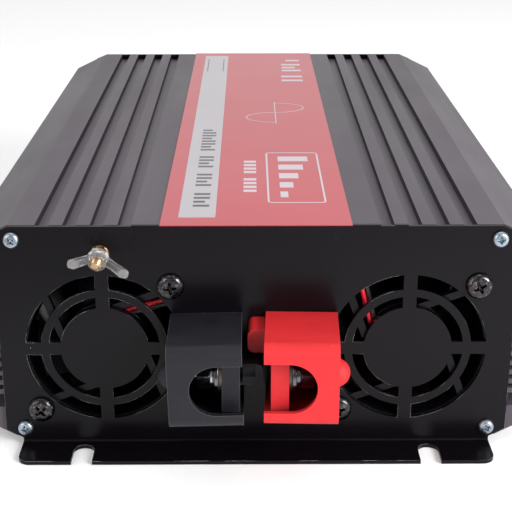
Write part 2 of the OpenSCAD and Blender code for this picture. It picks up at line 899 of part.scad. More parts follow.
module transformer_spots() {
    at_front() for (y = [92, 152, 212]) translate([-32, y, board_top]) children();
}

module transformer_cores() {
    color([0.2, 0.2, 0.21]) transformer_spots() {
        for (s = [-1, 1]) mirror([0, s < 0 ? 1 : 0, 0]) box(-27, 27, 13, 20, 4, 48);
        for (s = [-1, 1]) mirror([s < 0 ? 1 : 0, 0, 0]) box(20, 27, -13.1, 13.1, 4, 48);
        box(-8, 8, -13.1, 13.1, 17, 35);
    }
}

module transformer_windings() {
    color([0.85, 0.75, 0.25]) transformer_spots() difference() {
        box(-18.5, 18.5, -12.5, 12.5, 0, 50);
        box(-8.2, 8.2, -14, 14, 16.8, 35.2);
        box(-30, 30, -14, 14, -1, 1.5);
    }
}

module at_inductor() {
    at_front() translate([38, 205, board_top + 13]) children();
}

module inductor_core() {
    color([0.75, 0.7, 0.2]) at_inductor() rotate_extrude() translate([19, 0]) square([12, 17], center = true);
}

module inductor_winding() {
    color([0.7, 0.38, 0.18]) at_inductor() for (k = [0:23]) rotate(k * 14 + 8) translate([19, 0, 0])
        difference() {
            cube([17, 2.4, 22], center = true);
            cube([12.3, 4, 17.3], center = true);
        }
}

module capacitor(r, h) {
    cylinder(r = r, h = h - 1.2);
    translate([0, 0, h - 1.21]) cylinder(r1 = r, r2 = r - 1, h = 1.2);
}

module dc_capacitors() {
    color([0.1, 0.12, 0.3]) at_front() for (x = [26, 45, 64], y = [60, 84])
        translate([x, y, board_top]) capacitor(9, 36);
}

module hv_capacitors() {
    color([0.12, 0.12, 0.13]) at_front() for (y = [125, 161])
        translate([40, y, board_top]) capacitor(15, 46);
}

module power_transistors() {
    color([0.1, 0.1, 0.11]) at_front() both() for (i = [0:7])
        translate([0, transistor_y0 + i * transistor_pitch, 0]) {
            box(83, wall_x0 - 0.1, -8, 8, 31, 51);
            for (p = [-5.4, 0, 5.4]) {
                box(84.2, 84.9, p - 0.6, p + 0.6, 20, 31.1);
                box(80.2, 84.9, p - 0.6, p + 0.6, 19.3, 20.1);
                box(80.2, 80.9, p - 0.6, p + 0.6, board_top, 20);
            }
        }
}

module clamp_bars() {
    color([0.7, 0.7, 0.72]) at_front() both() difference() {
        box(bar_inner_x, 82.9, 60, 250, clamp_z - 5, clamp_z + 5);
        for (y = clamp_screw_y) translate([0, y, clamp_z]) rod_x(1.6, bar_inner_x - 1, 84);
    }
}

module fuses() {
    color([0.2, 0.6, 0.3]) at_front() for (i = [0:5]) translate([-24 - i * 8.5, 52, board_top]) {
        box(-2.6, 2.6, -9.5, 9.5, 6, 18);
        for (s = [-1, 1]) box(-0.4, 0.4, s * 7 - 2.6, s * 7 + 2.6, 0, 6.1);
    }
}

module control_board() {
    color([0.08, 0.3, 0.14]) at_front() {
        box(2, 3.6, 110, 200, board_top, board_top + 40);
        box(3.59, 6, 130, 142, 30, 42);
        box(3.59, 5.2, 160, 168, 28, 36);
    }
}

module ac_wires() {
    color([0.15, 0.25, 0.7]) at_front() for (s = [-1, 1], k = [0, 1]) {
        ox = -(outlet_x[k] + s * pin_x);
        wire([[ox * 0.6, board_y1 - 8, board_top], [ox * 0.6, board_y1 - 8, 30],
            [ox * 0.8, board_y1 - 3, 40], [ox, board_y1 + 3, outlet_z], [ox, case_l - 36, outlet_z]],
            1.4, [1, 0, -1]);
    }
}

module earth_wire() {
    clip_z = outlet_z + well_r - 0.2;
    color([0.5, 0.65, 0.15]) at_front() wire([[stud_x, plate_t + 2.8, stud_z], [stud_x, 14, stud_z],
        [stud_x, 32, 77], [-78, 60, 76], [-78, 120, 76], [-78, 220, 76], [-60, 258, 74], [-20, 276, 70],
        [-outlet_x[1], 282, 66], [-outlet_x[1], case_l - 25, clip_z], [-outlet_x[1], case_l - 22, clip_z]],
        1.3);
}

top_shell();
bottom_shell();
front_plate();
rear_plate();
label();
front_corner_screws();
rear_corner_screws();
fan_frame_left();
fan_frame_right();
fan_rotor_left();
fan_rotor_right();
fan_stators();
fan_screws();
fan_leads_red();
fan_leads_black();
terminal_base_red();
terminal_base_black();
terminal_base_screws();
busbar_positive();
busbar_negative();
terminal_bolts();
terminal_washers();
spring_washers();
terminal_nut_red();
terminal_nut_black();
terminal_cover_red();
terminal_cover_black();
ground_stud();
ground_washer();
ground_nut();
wing_nut();
ac_outlet_left();
ac_outlet_right();
outlet_sleeves();
outlet_earth_clips();
outlet_screws();
switch_housing();
switch_rocker();
breaker_body();
breaker_button();
led_power();
led_fault();
usb_socket();
remote_socket();
main_board();
board_standoffs();
m3_screws();
insulation_sheet();
transformer_cores();
transformer_windings();
inductor_core();
inductor_winding();
dc_capacitors();
hv_capacitors();
power_transistors();
clamp_bars();
fuses();
control_board();
ac_wires();
earth_wire();
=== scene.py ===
"""Looks of the power inverter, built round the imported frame.

Lengths are metres in the frame's own axes: +X right, +Y to the AC end, +Z up.
Sizes written in millimetres are multiplied by MM.
"""

import json
import math

import bmesh
import bpy
from mathutils import Matrix, Vector, noise


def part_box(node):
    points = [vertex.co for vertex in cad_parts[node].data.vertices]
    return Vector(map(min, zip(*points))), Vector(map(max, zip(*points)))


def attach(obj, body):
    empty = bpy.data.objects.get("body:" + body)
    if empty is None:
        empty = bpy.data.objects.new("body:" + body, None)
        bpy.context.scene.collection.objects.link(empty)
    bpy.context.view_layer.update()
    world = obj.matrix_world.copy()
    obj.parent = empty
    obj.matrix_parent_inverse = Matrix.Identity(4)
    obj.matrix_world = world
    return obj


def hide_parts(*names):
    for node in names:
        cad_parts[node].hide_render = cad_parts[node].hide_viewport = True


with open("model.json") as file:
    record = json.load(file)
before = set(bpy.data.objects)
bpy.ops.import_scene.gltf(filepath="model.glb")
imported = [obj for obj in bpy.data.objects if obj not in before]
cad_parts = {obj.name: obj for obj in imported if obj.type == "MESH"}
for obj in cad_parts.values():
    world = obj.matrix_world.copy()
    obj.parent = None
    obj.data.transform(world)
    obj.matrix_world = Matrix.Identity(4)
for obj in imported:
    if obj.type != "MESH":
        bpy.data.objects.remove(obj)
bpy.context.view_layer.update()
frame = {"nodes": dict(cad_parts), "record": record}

MM = 0.001
NODES = frame["nodes"]
BODY_OF = {node: body for body, nodes in frame["record"]["behaviour"]["bodies"].items()
           for node in nodes}
SLOT_OF = {part["node"]: part["material_slot"] for part in frame["record"]["subparts"]}
# how far the front plate's flange stands out, and where the plate's outer face is, in millimetres
FLANGE = 15.1
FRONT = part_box("front_plate")[0][1] / MM + FLANGE
# the point that every lamp is turned to
LIT = Vector((0, -0.1, 0.04))


# ---- camera, floor and light ----

def make_camera():
    """A long lens in front of the DC end, level and looking down on it."""
    data = bpy.data.cameras.new("camera")
    data.sensor_width = 36
    data.lens = 81.68
    data.clip_start = 0.02
    data.clip_end = 30
    camera = bpy.data.objects.new("camera", data)
    bpy.context.scene.collection.objects.link(camera)
    camera.location = (-0.002417, (FRONT - 390.52) * MM, 0.226741)
    down, turn = math.radians(20.962), math.radians(0.346)
    ahead = Vector((math.sin(turn) * math.cos(down), math.cos(turn) * math.cos(down), -math.sin(down)))
    camera.rotation_euler = ahead.to_track_quat("-Z", "Y").to_euler()
    bpy.context.scene.camera = camera


def make_floor():
    """A pale sheet that the case stands on, wide enough to reach the horizon of every view."""
    mesh = bpy.data.meshes.new("floor")
    half = 12
    corners = [(-half, -half, 0), (half, -half, 0), (half, half, 0), (-half, half, 0)]
    mesh.from_pydata(corners, [], [(0, 1, 2, 3)])
    floor = bpy.data.objects.new("floor", mesh)
    bpy.context.scene.collection.objects.link(floor)
    floor.location.z = -0.2 * MM
    paper = Finish("floor_paper", (0.9, 0.9, 0.905), rough=0.9)
    paper.tint(paper.noise(6, 3), 0.97, 1.0)
    # painted shade: the floor greys softly in front of the case, a little sooner on the left
    front = FRONT * MM
    place = paper.axes(paper.place)
    along = paper.math("MULTIPLY_ADD", place["X"], 0.4, place["Y"])
    paper.paint(paper.step(along, front - 0.08, front - 0.36), (0.28, 0.28, 0.29))
    paper.put("Emission Color", (1, 1, 1, 1))
    paper.put("Emission Strength", 0.15)
    floor.data.materials.append(paper.material)


def area_light(name, place, size, power):
    """A square white panel, size metres wide, turned to the middle of the case."""
    data = bpy.data.lights.new(name, "AREA")
    data.shape = "SQUARE"
    data.size = size
    data.energy = power
    light = bpy.data.objects.new(name, data)
    bpy.context.scene.collection.objects.link(light)
    light.location = place
    light.rotation_euler = (LIT - Vector(place)).to_track_quat("-Z", "Y").to_euler()


def make_light():
    """A white room, dimmer in front, with a key from the right and a weaker fill from the left."""
    world = bpy.data.worlds.new("studio")
    bpy.context.scene.world = world
    world.use_nodes = True
    tree = world.node_tree
    view = tree.nodes.new("ShaderNodeTexCoord")
    apart = tree.nodes.new("ShaderNodeSeparateXYZ")
    tree.links.new(view.outputs["Generated"], apart.inputs[0])
    level = tree.nodes.new("ShaderNodeMapRange")
    tree.links.new(apart.outputs["Y"], level.inputs["Value"])
    level.inputs["From Min"].default_value = -0.7
    level.inputs["From Max"].default_value = 0.4
    level.inputs["To Min"].default_value = 0.3
    level.inputs["To Max"].default_value = 0.9
    tree.links.new(level.outputs["Result"], tree.nodes["Background"].inputs["Strength"])
    tree.nodes["Background"].inputs["Color"].default_value = (1, 1, 1, 1)
    bpy.context.scene.view_settings.view_transform = "Standard"
    area_light("key_box", (0.85, -0.85, 0.55), 0.6, 20)
    area_light("fill_box", (-0.95, -1.0, 0.6), 0.9, 7)
    area_light("top_box", (0.1, 0.3, 1.6), 1.4, 3.5)


# ---- materials ----

class Finish:
    """A Principled material whose helpers return sockets, so that each finish reads as a recipe."""

    def __init__(self, name, colour, rough=0.5, metal=0.0, coat=0.0, coat_rough=0.1, specular=0.5):
        self.material = bpy.data.materials.new(name)
        self.material.use_nodes = True
        self.tree = self.material.node_tree
        self.shader = self.tree.nodes["Principled BSDF"]
        self.colour = tuple(colour)
        self.put("Base Color", (*colour, 1))
        self.put("Roughness", rough)
        self.put("Metallic", metal)
        self.put("Coat Weight", coat)
        self.put("Coat Roughness", coat_rough)
        self.put("Specular IOR Level", specular)
        place = self.node("ShaderNodeTexCoord")
        self.place = place.outputs["Object"]
        self.height = None

    def node(self, kind, **settings):
        made = self.tree.nodes.new(kind)
        for key, value in settings.items():
            setattr(made, key, value)
        return made

    def put(self, socket, value):
        self.shader.inputs[socket].default_value = value

    def axes(self, vector):
        """The X, Y and Z outputs of a vector socket."""
        made = self.node("ShaderNodeSeparateXYZ")
        self.tree.links.new(vector, made.inputs[0])
        return made.outputs

    def join(self, source, node, socket):
        """Links source to the node's socket if it is a socket, else sets it as a value."""
        if isinstance(source, bpy.types.NodeSocket):
            self.tree.links.new(source, node.inputs[socket])
        else:
            node.inputs[socket].default_value = source

    def stretched(self, scale):
        """The place on the part in metres, times scale along each axis."""
        mapping = self.node("ShaderNodeMapping")
        self.tree.links.new(self.place, mapping.inputs["Vector"])
        mapping.inputs["Scale"].default_value = scale
        return mapping.outputs["Vector"]

    def noise(self, size, detail=3, stretch=(1, 1, 1), rough=0.5, shift=0.0):
        """Soft noise from 0 to 1 whose blobs are about size millimetres."""
        made = self.node("ShaderNodeTexNoise")
        scale = 1 / (size * MM)
        self.tree.links.new(self.stretched([scale / s for s in stretch]), made.inputs["Vector"])
        made.inputs["Scale"].default_value = 1
        made.inputs["Detail"].default_value = detail
        made.inputs["Roughness"].default_value = rough
        if shift:
            made.noise_dimensions = "4D"
            made.inputs["W"].default_value = shift
        return made.outputs["Fac"]

    def cells(self, size, output):
        """Random cells about size millimetres wide: the Distance to each one's middle, or its Color."""
        made = self.node("ShaderNodeTexVoronoi", feature="F1")
        scale = 1 / (size * MM)
        self.tree.links.new(self.stretched((scale, scale, scale)), made.inputs["Vector"])
        made.inputs["Scale"].default_value = 1
        return made.outputs[output]

    def math(self, operation, a, b=0.0, c=0.0):
        made = self.node("ShaderNodeMath", operation=operation)
        self.join(a, made, 0)
        self.join(b, made, 1)
        self.join(c, made, 2)
        return made.outputs[0]

    def step(self, value, low, high, out=(0.0, 1.0)):
        """value rescaled smoothly from low..high to out, and held there beyond."""
        made = self.node("ShaderNodeMapRange", interpolation_type="SMOOTHSTEP")
        self.join(value, made, "Value")
        made.inputs["From Min"].default_value = low
        made.inputs["From Max"].default_value = high
        made.inputs["To Min"].default_value = out[0]
        made.inputs["To Max"].default_value = out[1]
        return made.outputs["Result"]

    def specks(self, spacing, radius, share):
        """1 in small round specks of about radius millimetres, in that share of the cells."""
        near = self.cells(spacing, "Distance")
        pick = self.cells(spacing, "Color")
        apart = self.node("ShaderNodeSeparateColor")
        self.tree.links.new(pick, apart.inputs[0])
        chosen = self.math("LESS_THAN", apart.outputs[0], share)
        size = self.math("MULTIPLY", apart.outputs[1], radius / spacing)
        inside = self.math("LESS_THAN", near, size)
        return self.math("MULTIPLY", chosen, inside)

    def scratches(self, length, width, share, shift):
        """1 along a few thin straight marks."""
        line = self.noise(width, 0, (length / width, 1, 1.6), shift=shift)
        where = self.noise(length * 1.5, 1, shift=shift + 3)
        thin = self.step(self.math("ABSOLUTE", self.math("SUBTRACT", line, 0.5)), 0.012, 0.0)
        return self.math("MULTIPLY", thin, self.step(where, 1 - share, 1 - share + 0.05))

    def edges(self, radius):
        """1 on sharp convex or concave edges, 0 on flat stretches."""
        bevel = self.node("ShaderNodeBevel", samples=4)
        bevel.inputs["Radius"].default_value = radius * MM
        flat = self.node("ShaderNodeNewGeometry")
        dot = self.node("ShaderNodeVectorMath", operation="DOT_PRODUCT")
        self.tree.links.new(bevel.outputs[0], dot.inputs[0])
        self.tree.links.new(flat.outputs["Normal"], dot.inputs[1])
        return self.step(dot.outputs["Value"], 0.99, 0.8)

    def hollows(self, reach):
        """A mask for painted shade: 1 deep inside hollows, 0 on open faces."""
        seen = self.node("ShaderNodeAmbientOcclusion", samples=8)
        seen.inputs["Distance"].default_value = reach * MM
        return self.step(seen.outputs["AO"], 0.55, 0.15)

    def blend(self, amount, under, over):
        """The colour under where amount is 0 and over where it is 1."""
        made = self.node("ShaderNodeMix", data_type="RGBA")
        self.join(amount, made, 0)
        for index, value in ((6, under), (7, over)):
            if isinstance(value, bpy.types.NodeSocket):
                self.tree.links.new(value, made.inputs[index])
            else:
                made.inputs[index].default_value = (*value, 1)
        return made.outputs[2]

    def base(self):
        """What the base colour is so far: a socket, or the plain colour."""
        socket = self.shader.inputs["Base Color"]
        return socket.links[0].from_socket if socket.links else self.colour

    def paint(self, amount, colour):
        """Lays colour over the base where amount is 1."""
        self.tree.links.new(self.blend(amount, self.base(), colour), self.shader.inputs["Base Color"])

    def tint(self, amount, low, high):
        """Varies the base colour's brightness between low and high."""
        shade = self.step(amount, 0.25, 0.75, (low, high))
        made = self.node("ShaderNodeVectorMath", operation="SCALE")
        base = self.base()
        if isinstance(base, bpy.types.NodeSocket):
            self.tree.links.new(base, made.inputs[0])
        else:
            made.inputs[0].default_value = base
        self.tree.links.new(shade, made.inputs["Scale"])
        self.tree.links.new(made.outputs[0], self.shader.inputs["Base Color"])

    def polish(self, amount, low, high):
        """Roughness from low to high as amount goes from 0.25 to 0.75."""
        self.tree.links.new(self.step(amount, 0.25, 0.75, (low, high)), self.shader.inputs["Roughness"])

    def rougher(self, amount, rough):
        """Mixes the roughness towards rough where amount is 1."""
        socket = self.shader.inputs["Roughness"]
        mixed = self.node("ShaderNodeMix", data_type="FLOAT")
        self.join(amount, mixed, 0)
        self.join(socket.links[0].from_socket if socket.links else socket.default_value, mixed, 2)
        mixed.inputs[3].default_value = rough
        self.tree.links.new(mixed.outputs[0], socket)

    def relief(self, height, depth, strength=1.0):
        """Adds a bump of depth millimetres."""
        bump = self.node("ShaderNodeBump")
        bump.inputs["Distance"].default_value = depth * MM
        bump.inputs["Strength"].default_value = strength
        self.tree.links.new(height, bump.inputs["Height"])
        if self.height:
            self.tree.links.new(self.height, bump.inputs["Normal"])
        self.height = bump.outputs[0]
        self.tree.links.new(self.height, self.shader.inputs["Normal"])


def anodised():
    """Satin anodised aluminium: fine grain, soft clouds, rubbed edges and a few dust specks."""
    f = Finish("anodised", (0.067, 0.056, 0.0695), rough=0.46, specular=0.36)
    f.tint(f.noise(45, 3), 0.92, 1.08)
    f.polish(f.noise(20, 3, (1, 6, 1)), 0.41, 0.5)
    f.relief(f.noise(0.35, 2), 0.008)
    # between the shoulders, 85 mm out, painted light makes the groove floors paler than the ribs
    place = f.axes(f.place)
    normal = f.axes(f.node("ShaderNodeNewGeometry").outputs["Normal"])
    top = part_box("top_shell")[1][2]
    inner = f.step(f.math("ABSOLUTE", place["X"]), 86 * MM, 85 * MM)
    low = f.step(place["Z"], top - 2.6 * MM, top - 2.8 * MM)
    f.paint(f.math("MULTIPLY", inner, low), (0.125, 0.106, 0.13))
    # painted shade: the upright groove walls are painted darker than the ribs
    upright = f.step(f.math("ABSOLUTE", normal["X"]), 0.7, 0.95)
    f.paint(f.math("MULTIPLY", inner, upright), (0.018, 0.014, 0.018))
    f.paint(f.math("MULTIPLY", f.edges(0.25), 0.25), (0.2, 0.19, 0.2))
    f.paint(f.math("MULTIPLY", f.specks(9, 0.22, 0.2), 0.5), (0.35, 0.35, 0.36))
    return f


def plate_black():
    """Semi-gloss powder coat: fine orange peel, handled patches, dust and bare-edge wear."""
    f = Finish("plate_black", (0.0035, 0.0026, 0.0039), rough=0.26, specular=0.16)
    f.polish(f.noise(30, 4), 0.23, 0.29)
    f.relief(f.noise(0.9, 2), 0.015, 0.5)
    f.relief(f.noise(16, 2), 0.06, 0.35)
    # bare metal shows on the grilles' and the lower edges, not along the top
    bare = f.math("MULTIPLY", f.edges(0.2), f.step(f.noise(14, 2), 0.5, 0.58))
    below = f.step(f.axes(f.place)["Z"], 79 * MM, 75 * MM)
    f.paint(f.math("MULTIPLY", bare, below), (0.45, 0.44, 0.45))
    dust = f.specks(7, 0.2, 0.3)
    f.paint(f.math("MULTIPLY", dust, 0.8), (0.4, 0.4, 0.42))
    f.rougher(dust, 0.8)
    return f


def moulded(name, colour, rough, dust, wear, grain=0.01, dusty=0.22):
    """Injection-moulded plastic: fine grain, faint clouds, dust, hair scratches, rubbed edges, painted shade
    in hollows.

    dust is the colour of specks and scratches, wear how much the edges are rubbed, grain the
    depth of the grain in millimetres, and dusty the share of cells that hold a speck.
    """
    f = Finish(name, colour, rough=rough, specular=0.38)
    f.tint(f.noise(12, 3), 0.94, 1.06)
    f.polish(f.noise(8, 4), rough - 0.05, rough + 0.06)
    f.relief(f.noise(0.3, 2), grain)
    f.relief(f.noise(9, 1), 0.05, 0.5)
    rubbed = [min(1, c * 1.3 + 0.12) for c in colour]
    f.paint(f.math("MULTIPLY", f.edges(0.3), wear), rubbed)
    f.paint(f.math("MULTIPLY", f.scratches(9, 0.4, 0.3, 2.0), 0.25), dust)
    f.paint(f.math("MULTIPLY", f.specks(2.6, 0.19, dusty), 0.8), dust)
    # painted shade: the plastic darkens deep inside its hollows, read from ambient occlusion
    f.paint(f.math("MULTIPLY", f.hollows(16), 0.85), [c * 0.1 for c in colour])
    return f


def metal(name, colour, rough, worn=0.12, stain=(0.3, 0.28, 0.26), stains=0.35, rubbed=0.2):
    """Bare or plated metal: mottled gloss, tool marks, some tarnish, edge wear and painted edge highlight."""
    f = Finish(name, colour, rough=rough, metal=1.0)
    f.tint(f.noise(2.4, 3), 0.86, 1.05)
    f.polish(f.noise(1.2, 4), rough, rough + worn)
    f.relief(f.noise(0.4, 3), 0.02)
    f.paint(f.math("MULTIPLY", f.step(f.noise(1.8, 4, shift=5.0), 0.55, 0.7), stains), stain)
    # edges lightened by rubbed: wear, and a painted highlight where rubbed is large, as on the bright steel
    f.paint(f.math("MULTIPLY", f.edges(0.25), rubbed), (0.75, 0.75, 0.76))
    return f


def bright_steel():
    """Nickel-plated fasteners with a painted highlight on their edges, and the outer nuts painted brighter
    than the washers.
    """
    f = metal("bright_steel", (0.15, 0.15, 0.165), 0.1, 0.1, (0.04, 0.04, 0.04), 0.5, rubbed=0.7)
    # painted light: the outer nuts get a brighter colour than the washers, as if more lit
    nut = islands("terminal_nut_red")[0][0].x
    outer = f.step(f.math("ABSOLUTE", f.axes(f.place)["X"]), (nut - 0.1) * MM, nut * MM)
    f.paint(f.math("MULTIPLY", outer, 0.7), (0.62, 0.62, 0.65))
    return f


def black_screw():
    """Blackened steel, pitted, and bright where the driver and fingers have rubbed it."""
    f = Finish("black_screw", (0.05, 0.047, 0.05), rough=0.2, metal=1.0)
    rubbed = f.step(f.noise(1.1, 4, rough=0.6), 0.52, 0.66)
    f.paint(f.math("MULTIPLY", rubbed, 0.5), (0.3, 0.29, 0.29))
    f.paint(f.math("MULTIPLY", f.edges(0.15), 0.35), (0.4, 0.39, 0.38))
    f.polish(f.noise(0.9, 3), 0.16, 0.32)
    f.relief(f.noise(0.9, 2), 0.03)
    return f


def fan_black():
    """Glossy black fan plastic with fine dust."""
    f = Finish("fan_black", (0.003, 0.0025, 0.0038), rough=0.28, specular=0.18)
    f.polish(f.noise(6, 3), 0.24, 0.36)
    f.relief(f.noise(0.35, 2), 0.012)
    f.tint(f.noise(10, 2), 0.85, 1.2)
    f.paint(f.math("MULTIPLY", f.specks(1.8, 0.08, 0.2), 0.4), (0.2, 0.2, 0.2))
    return f


def label_print(name, colour):
    """Printed foil: a thin clear film over colour, with a faint lay and pin-prick specks."""
    f = Finish(name, colour, rough=0.33, coat=0.35, coat_rough=0.22)
    f.tint(f.noise(60, 2), 0.97, 1.03)
    f.polish(f.noise(40, 2), 0.32, 0.35)
    f.relief(f.noise(0.4, 2), 0.003)
    f.paint(f.math("MULTIPLY", f.specks(6, 0.12, 0.2), 0.5), (0.9, 0.85, 0.85))
    return f


def clear_plastic():
    """Clear moulding with ripples inside; its cut ends are frosted."""
    f = Finish("clear_plastic", (0.96, 0.965, 0.98), rough=0.08)
    f.put("Transmission Weight", 0.94)
    f.put("IOR", 1.49)
    f.polish(f.noise(2.2, 3), 0.02, 0.08)
    f.relief(f.noise(1.3, 3), 0.08)
    f.relief(f.noise(0.5, 2), 0.02)
    f.tint(f.noise(2.5, 2), 0.92, 1.0)
    ends = f.step(f.axes(f.place)["Y"], (FRONT - 13.8) * MM, (FRONT - 14.6) * MM)
    f.rougher(ends, 0.55)
    return f


def lens(name, colour):
    """A small tinted indicator lens."""
    f = Finish(name, colour, rough=0.1)
    f.put("Transmission Weight", 0.6)
    f.polish(f.noise(1.5, 2), 0.06, 0.16)
    f.relief(f.noise(0.5, 2), 0.01)
    f.tint(f.noise(3, 2), 0.9, 1.1)
    return f


def sleeve(name, colour, rough=0.32):
    """Wire insulation and shrink sleeve: smooth, faintly rippled."""
    f = Finish(name, colour, rough=rough)
    f.polish(f.noise(3, 3), rough - 0.06, rough + 0.1)
    f.relief(f.noise(1.4, 2), 0.03)
    f.tint(f.noise(5, 2), 0.9, 1.1)
    return f


def board_green():
    """Solder mask over copper tracks."""
    f = Finish("board_green", (0.014, 0.12, 0.045), rough=0.32, coat=0.3)
    tracks = f.step(f.math("ABSOLUTE", f.math("SUBTRACT", f.noise(9, 0, (1, 5, 1)), 0.5)), 0.05, 0.03)
    f.paint(f.math("MULTIPLY", tracks, 0.6), (0.03, 0.22, 0.07))
    f.relief(tracks, 0.03)
    f.paint(f.specks(3.5, 0.5, 0.5), (0.55, 0.5, 0.45))
    f.polish(f.noise(12, 2), 0.27, 0.4)
    return f


def winding(name, colour, along):
    """Close turns of enamelled wire or tape."""
    f = Finish(name, colour, rough=0.3, metal=0.55)
    turns = f.noise(0.7, 0, along)
    f.relief(turns, 0.25)
    f.tint(turns, 0.7, 1.15)
    f.polish(f.noise(2, 2), 0.24, 0.4)
    return f


FINISHES = {
    "anodised": anodised,
    "plate_black": plate_black,
    "label_foil": lambda: label_print("label_foil", (0.43, 0.021, 0.038)),
    "print_white": lambda: label_print("print_white", (0.5, 0.44, 0.48)),
    "print_silver": lambda: label_print("print_silver", (0.4, 0.375, 0.405)),
    "print_grey": lambda: label_print("print_grey", (0.03, 0.027, 0.032)),
    "zinc_screw": lambda: metal("zinc_screw", (0.37, 0.43, 0.49), 0.26, 0.12, (0.08, 0.11, 0.16), 0.5),
    "black_screw": black_screw,
    "fan_black": fan_black,
    "copper_winding": lambda: winding("copper_winding", (0.62, 0.25, 0.1), (8, 1, 8)),
    "lead_red": lambda: sleeve("lead_red", (0.68, 0.012, 0.03), 0.3),
    "lead_black": lambda: sleeve("lead_black", (0.016, 0.016, 0.017), 0.3),
    "red_plastic": lambda: moulded("red_plastic", (0.59, 0.016, 0.02), 0.6, (0.9, 0.5, 0.5), 0.25),
    "black_plastic": lambda: moulded("black_plastic", (0.0056, 0.0052, 0.0092), 0.58,
                                     (0.34, 0.34, 0.37), 1.0, dusty=0.85),
    # the busbars' tin is painted almost black: painted shade for the dark inside of the terminal covers
    "busbar_tin": lambda: metal("busbar_tin", (0.14, 0.12, 0.1), 0.4, 0.12, (0.06, 0.04, 0.03), 0.7),
    "bright_steel": bright_steel,
    "brass": lambda: metal("brass", (0.68, 0.44, 0.24), 0.2, stain=(0.25, 0.14, 0.06)),
    "clear_plastic": clear_plastic,
    "outlet_black": lambda: moulded("outlet_black", (0.017, 0.017, 0.018), 0.33, (0.3, 0.3, 0.3), 0.4),
    "rocker_red": lambda: moulded("rocker_red", (0.6, 0.015, 0.02), 0.28, (0.8, 0.5, 0.5), 0.3),
    "button_white": lambda: moulded("button_white", (0.72, 0.71, 0.69), 0.35, (0.4, 0.38, 0.35), 0.2),
    "led_green": lambda: lens("led_green", (0.12, 0.75, 0.22)),
    "led_red": lambda: lens("led_red", (0.85, 0.06, 0.04)),
    "port_steel": lambda: metal("port_steel", (0.7, 0.7, 0.72), 0.24),
    "board_green": board_green,
    "insulation": lambda: moulded("insulation", (0.72, 0.64, 0.38), 0.5, (0.9, 0.88, 0.8), 0.1, 0.02),
    "ferrite": lambda: moulded("ferrite", (0.05, 0.05, 0.054), 0.55, (0.2, 0.2, 0.2), 0.4, 0.04),
    "tape_yellow": lambda: winding("tape_yellow", (0.8, 0.6, 0.08), (9, 9, 1)),
    "powder_core": lambda: moulded("powder_core", (0.55, 0.46, 0.05), 0.5, (0.8, 0.75, 0.5), 0.2, 0.03),
    "sleeve_blue": lambda: sleeve("sleeve_blue", (0.015, 0.04, 0.2)),
    "sleeve_black": lambda: sleeve("sleeve_black", (0.017, 0.017, 0.02)),
    "package_black": lambda: moulded("package_black", (0.022, 0.022, 0.024), 0.48, (0.2, 0.2, 0.2), 0.3,
                                     0.03),
    "clamp_aluminium": lambda: metal("clamp_aluminium", (0.72, 0.72, 0.73), 0.32),
    "fuse_green": lambda: sleeve("fuse_green", (0.04, 0.42, 0.1), 0.25),
    "wire_blue": lambda: sleeve("wire_blue", (0.02, 0.06, 0.4)),
    "wire_earth": lambda: sleeve("wire_earth", (0.3, 0.5, 0.03)),
}
made_finishes = {}


def finish(slot):
    """The material of a slot, made the first time it is asked for."""
    if slot not in made_finishes:
        made_finishes[slot] = FINISHES[slot]().material
    return made_finishes[slot]


# ---- pieces ----

# corners of a CAD mesh closer than this, in metres, are one
WELD = 1e-6


def settle(piece, node, replace=True, slot=None):
    """Gives a piece its finish and its body, and lets it stand for the CAD node."""
    slot = slot or SLOT_OF[node]
    piece.data.materials.clear()
    piece.data.materials.append(finish(slot))
    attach(piece, BODY_OF[node])
    if replace:
        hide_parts(node)


def object_from(name, mesh_maker):
    """An object at the frame's origin, from a bmesh in frame coordinates."""
    mesh = bpy.data.meshes.new(name)
    mesh_maker.normal_update()
    mesh_maker.to_mesh(mesh)
    mesh_maker.free()
    piece = bpy.data.objects.new(name, mesh)
    bpy.context.scene.collection.objects.link(piece)
    return piece


def smooth_by_angle(piece, degrees):
    """Smooth shading, with edges sharper than that angle left crisp."""
    mesh = piece.data
    mesh.shade_smooth()
    mesh.set_sharp_from_angle(angle=math.radians(degrees))


def applied(piece):
    """Bakes a piece's modifiers into its mesh."""
    seen = bpy.context.evaluated_depsgraph_get()
    mesh = bpy.data.meshes.new_from_object(piece.evaluated_get(seen))
    piece.modifiers.clear()
    old = piece.data
    piece.data = mesh
    bpy.data.meshes.remove(old)


def rounded(node, radius, segments):
    """The node's shape with its true outline kept and its edges rounded by radius millimetres."""
    shape = bmesh.new()
    shape.from_mesh(NODES[node].data)
    bmesh.ops.remove_doubles(shape, verts=shape.verts, dist=WELD)
    bmesh.ops.dissolve_limit(shape, angle_limit=math.radians(1.5), verts=shape.verts, edges=shape.edges)
    piece = object_from(f"{node}_finished", shape)
    bevel = piece.modifiers.new("round", "BEVEL")
    bevel.width = radius * MM
    bevel.segments = segments
    bevel.limit_method = "ANGLE"
    bevel.angle_limit = math.radians(12)
    bevel.use_clamp_overlap = True
    bevel.miter_outer = "MITER_ARC"
    piece.data.shade_smooth()
    weights = piece.modifiers.new("weights", "WEIGHTED_NORMAL")
    weights.weight = 100
    weights.keep_sharp = False
    settle(piece, node)


def islands(node):
    """The lowest and highest corners of each loose solid in a CAD node, in millimetres."""
    shape = bmesh.new()
    shape.from_mesh(NODES[node].data)
    bmesh.ops.remove_doubles(shape, verts=shape.verts, dist=WELD)
    left = set(shape.verts)
    boxes = []
    while left:
        reached = {left.pop()}
        edge = list(reached)
        while edge:
            vert = edge.pop()
            for link in vert.link_edges:
                other = link.other_vert(vert)
                if other in left:
                    left.discard(other)
                    reached.add(other)
                    edge.append(other)
        lows = [min(v.co[k] for v in reached) / MM for k in range(3)]
        highs = [max(v.co[k] for v in reached) / MM for k in range(3)]
        boxes.append((Vector(lows), Vector(highs)))
    shape.free()
    return sorted(boxes, key=lambda box: tuple(round(c, 3) for c in box[0]))


